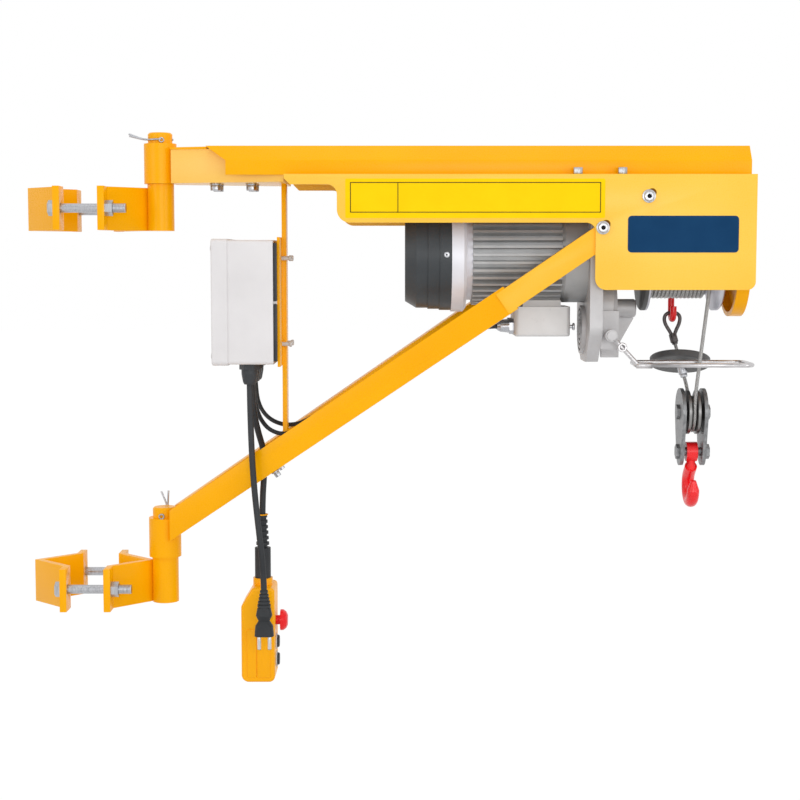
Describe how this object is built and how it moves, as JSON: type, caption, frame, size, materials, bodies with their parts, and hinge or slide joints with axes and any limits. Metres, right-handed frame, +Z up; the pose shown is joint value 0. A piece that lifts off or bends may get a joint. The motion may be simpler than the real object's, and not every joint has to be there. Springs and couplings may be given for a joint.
{
  "type": "column hoist",
  "caption": "Swinging jib hoist for a column: clamps with V jaws, braced arm with roof and side panels, electric winch, rope block with hook, control box and hand pendant.",
  "frame": {"origin": "inner corner line of the upper fixed jaw, at half its height, on the jib's middle plane", "axes": "+X along the jib arm away from the column, +Y to the far side, +Z up"},
  "size_m": [0.978, 0.194, 0.756],
  "materials": {
    "yellow_paint": "semi-gloss",
    "zinc_steel": "bright zinc",
    "grey_plastic": "satin",
    "black_plastic": "satin",
    "black_rubber": "matte",
    "cast_aluminium": "painted grey",
    "drum_iron": "turned",
    "dark_iron": "black coat",
    "rope_steel": "stranded wire",
    "block_steel": "zinc",
    "red_paint": "gloss",
    "yellow_plastic": "satin",
    "red_plastic": "gloss",
    "button_black": "satin"
  },
  "bodies": {
    "column_clamps": {"upper_fixed_jaw": "yellow_paint", "upper_loose_jaw": "yellow_paint", "upper_pivot_pin": "yellow_paint", "lower_fixed_jaw": "yellow_paint", "lower_loose_jaw": "yellow_paint", "lower_pivot_pin": "yellow_paint", "clamp_bolts": "zinc_steel"},
    "jib": {"upper_sleeve": "yellow_paint", "lower_sleeve": "yellow_paint", "arm_root": "yellow_paint", "roof_channel": "yellow_paint", "near_side_panel": "yellow_paint", "far_side_panel": "yellow_paint", "near_strut": "yellow_paint", "far_strut": "yellow_paint", "box_hanger": "yellow_paint", "drum_end_plate": "yellow_paint", "tie_rods": "zinc_steel", "control_box": "grey_plastic", "control_box_lid": "grey_plastic", "box_glands": "black_plastic", "terminal_glands": "zinc_steel", "motor_fan_cover": "black_plastic", "pendant_boot": "black_rubber", "power_plug": "black_rubber", "power_cord": "black_rubber", "pendant_cord": "black_rubber", "motor_cable": "black_rubber", "switch_cable": "black_rubber", "motor_end_bell": "cast_aluminium", "motor_body": "cast_aluminium", "terminal_box": "cast_aluminium", "gear_flange": "cast_aluminium", "gear_case": "cast_aluminium", "hoist_bracket": "cast_aluminium", "drum": "drum_iron", "stop_weight": "dark_iron", "drum_rope": "rope_steel", "hoist_rope": "rope_steel", "rope_fittings": "rope_steel", "hook_block": "block_steel", "anchor_hook": "red_paint", "pendant_body": "yellow_plastic"},
    "lever": {"limit_lever": "zinc_steel"},
    "pulley": {"sheave": "block_steel"},
    "hook": {"load_hook": "red_paint"},
    "stop": {"stop_button": "red_plastic"},
    "up": {"up_button": "button_black"},
    "down": {"down_button": "button_black"}
  },
  "joints": [
    {"name": "jib_swing", "type": "hinge", "parent": "column_clamps", "child": "jib", "pos_m": [0.02773, 0, 0], "axis": [0, 0, 1], "range_deg": [-90, 90]},
    {"name": "lever_lift", "type": "hinge", "parent": "jib", "child": "lever", "pos_m": [0.63173, -0.078, -0.168], "axis": [0, -1, 0], "range_deg": [0, 12]},
    {"name": "sheave_spin", "type": "hinge", "parent": "jib", "child": "pulley", "pos_m": [0.75673, 0.014, -0.278], "axis": [1, 0, 0], "continuous": true},
    {"name": "hook_swing", "type": "hinge", "parent": "jib", "child": "hook", "pos_m": [0.75673, 0.014, -0.333], "axis": [1, 0, 0], "range_deg": [-45, 45]},
    {"name": "stop_press", "type": "slide", "parent": "jib", "child": "stop", "axis": [-1, 0, 0], "range_m": [0, 0.005], "stiffness_N_per_m": 400},
    {"name": "up_press", "type": "slide", "parent": "jib", "child": "up", "axis": [-1, 0, 0], "range_m": [0, 0.0035], "stiffness_N_per_m": 300},
    {"name": "down_press", "type": "slide", "parent": "jib", "child": "down", "axis": [-1, 0, 0], "range_m": [0, 0.0035], "stiffness_N_per_m": 300}
  ]
}
